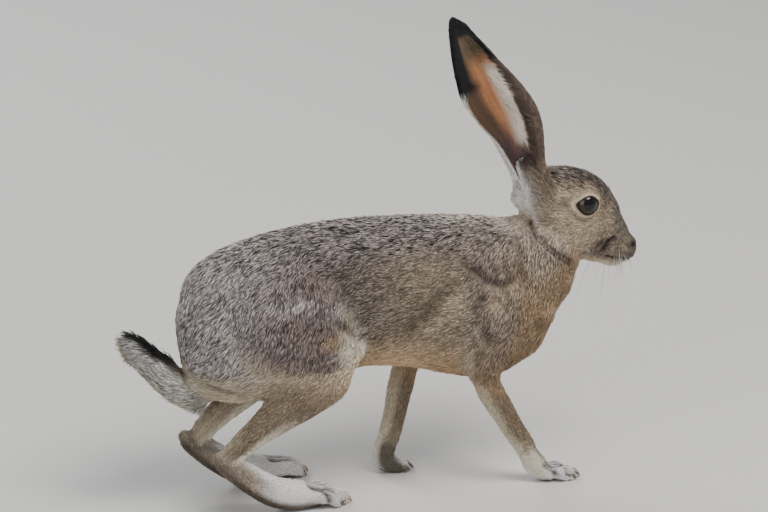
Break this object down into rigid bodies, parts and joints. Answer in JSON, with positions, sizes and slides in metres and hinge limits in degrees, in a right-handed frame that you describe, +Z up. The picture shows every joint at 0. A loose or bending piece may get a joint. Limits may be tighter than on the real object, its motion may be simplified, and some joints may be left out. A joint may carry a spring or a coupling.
{
  "type": "black-tailed jackrabbit",
  "caption": "Life-size still model of a black-tailed jackrabbit, a hare walking on all fours with long upright ears and a raised tail.",
  "frame": {"origin": "on the floor, under the middle of the model's box", "axes": "+X from tail to nose, +Y to the animal's left, +Z up"},
  "size_m": [0.4834, 0.1372, 0.4311],
  "materials": {
    "body_fur": "short grizzled coat, dark hairs with pale buff and grey tips",
    "belly_fur": "short soft coat, warm orange buff",
    "foot_fur": "dense short fur, cream, dusky along the sole",
    "tail_fur": "longer fur, black along the top, grizzled grey sides, pale below",
    "ear": "thin skin with very short hair, bare orange brown inside, black tip behind",
    "eye": "wet dark brown iris round a black pupil",
    "claw": "dark horn",
    "nose_skin": "bare dark skin of lids and nostrils",
    "whisker": "stiff white hair"
  },
  "bodies": {
    "root": {"eye_right": "eye", "eye_left": "eye", "head": "body_fur", "ear_right": "ear", "hind_foot_right": "foot_fur", "forefoot_right": "foot_fur", "hind_claw_right_1": "claw", "hind_claw_right_2": "claw", "hind_claw_right_3": "claw", "hind_claw_right_4": "claw", "fore_claw_right_1": "claw", "fore_claw_right_2": "claw", "fore_claw_right_3": "claw", "fore_claw_right_4": "claw", "thigh_right": "body_fur", "shoulder_right": "body_fur", "shank_right": "belly_fur", "forearm_right": "belly_fur", "ear_left": "ear", "hind_foot_left": "foot_fur", "forefoot_left": "foot_fur", "hind_claw_left_1": "claw", "hind_claw_left_2": "claw", "hind_claw_left_3": "claw", "hind_claw_left_4": "claw", "fore_claw_left_1": "claw", "fore_claw_left_2": "claw", "fore_claw_left_3": "claw", "fore_claw_left_4": "claw", "thigh_left": "body_fur", "shoulder_left": "body_fur", "shank_left": "belly_fur", "forearm_left": "belly_fur", "chest": "body_fur", "belly": "belly_fur", "rump": "body_fur", "neck": "body_fur", "tail": "tail_fur"}
  },
  "joints": []
}
